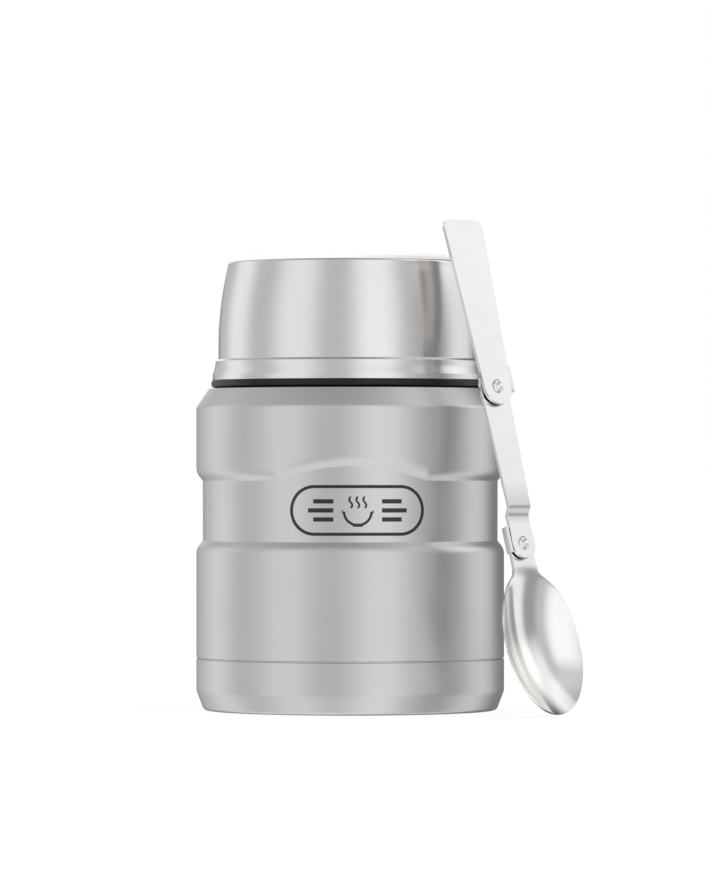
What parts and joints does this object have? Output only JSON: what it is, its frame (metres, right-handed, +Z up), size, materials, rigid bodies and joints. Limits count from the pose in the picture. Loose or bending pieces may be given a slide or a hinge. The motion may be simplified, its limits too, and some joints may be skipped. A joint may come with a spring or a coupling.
{
  "type": "insulated food jar",
  "caption": "Vacuum food jar with a waisted steel body, screwed stopper, screwed steel bowl lid and a folding spoon standing beside it.",
  "frame": {"origin": "centre of the plane that the jar stands on, on the jar's axis", "axes": "+Z up along the jar's axis, -Y towards the arched panel on the front, +X to the right seen from the front, where the spoon stands"},
  "size_m": [0.115, 0.1134, 0.1488],
  "materials": {
    "body_steel": "satin",
    "lid_steel": "satin",
    "vessel_steel": "satin",
    "foil": "gloss",
    "solder": "satin",
    "getter_grey": "matte",
    "black_plastic": "satin",
    "grey_plastic": "satin",
    "white_foam": "matte",
    "grey_silicone": "matte",
    "black_silicone": "matte",
    "spoon_steel": "polished",
    "rivet_steel": "polished"
  },
  "bodies": {
    "jar": {"outer_shell": "body_steel", "base_cup": "body_steel", "inner_vessel": "vessel_steel", "heat_foil": "foil", "vacuum_base": "vessel_steel", "exhaust_seal": "solder", "getter": "getter_grey"},
    "stopper_seal": {"stopper_gasket": "grey_silicone"},
    "stopper": {"stopper_shell": "black_plastic", "stopper_plug": "grey_plastic", "stopper_foam": "white_foam"},
    "lid_ring": {"lid_seal": "black_silicone"},
    "lid": {"lid_shell": "lid_steel", "lid_liner": "black_plastic"},
    "spoon_middle": {"spoon_link": "spoon_steel", "upper_rivet": "rivet_steel", "lower_rivet": "rivet_steel"},
    "spoon_grip": {"spoon_handle": "spoon_steel"},
    "spoon_end": {"spoon_bowl": "spoon_steel"}
  },
  "joints": [
    {"name": "stopper_lift", "type": "slide", "parent": "jar", "child": "stopper_seal", "axis": [0, 0, 1], "range_m": [0, 0.024]},
    {"name": "stopper_turn", "type": "hinge", "parent": "stopper_seal", "child": "stopper", "pos_m": [0, 0, 0.1], "axis": [0, 0, 1], "range_deg": [0, 720]},
    {"name": "lid_lift", "type": "slide", "parent": "stopper", "child": "lid_ring", "axis": [0, 0, 1], "range_m": [0, 0.015]},
    {"name": "lid_turn", "type": "hinge", "parent": "lid_ring", "child": "lid", "pos_m": [0, 0, 0.11], "axis": [0, 0, 1], "range_deg": [0, 450]},
    {"name": "spoon_lift", "type": "slide", "parent": "jar", "child": "spoon_middle", "axis": [0, 0, 1], "range_m": [0, 0.1]},
    {"name": "handle_fold", "type": "hinge", "parent": "spoon_middle", "child": "spoon_grip", "pos_m": [0.04237, -0.04004, 0.09792], "axis": [0.6346, -0.7147, 0.294], "range_deg": [0, 180]},
    {"name": "bowl_fold", "type": "hinge", "parent": "spoon_middle", "child": "spoon_end", "pos_m": [0.05172, -0.05058, 0.05213], "axis": [0.6346, -0.7147, 0.294], "range_deg": [0, 180]}
  ],
  "couplings": [
    {"joint": "stopper_lift", "follows": "stopper_turn", "m_per_rad": 0.0019099},
    {"joint": "lid_lift", "follows": "lid_turn", "m_per_rad": 0.0019099}
  ]
}
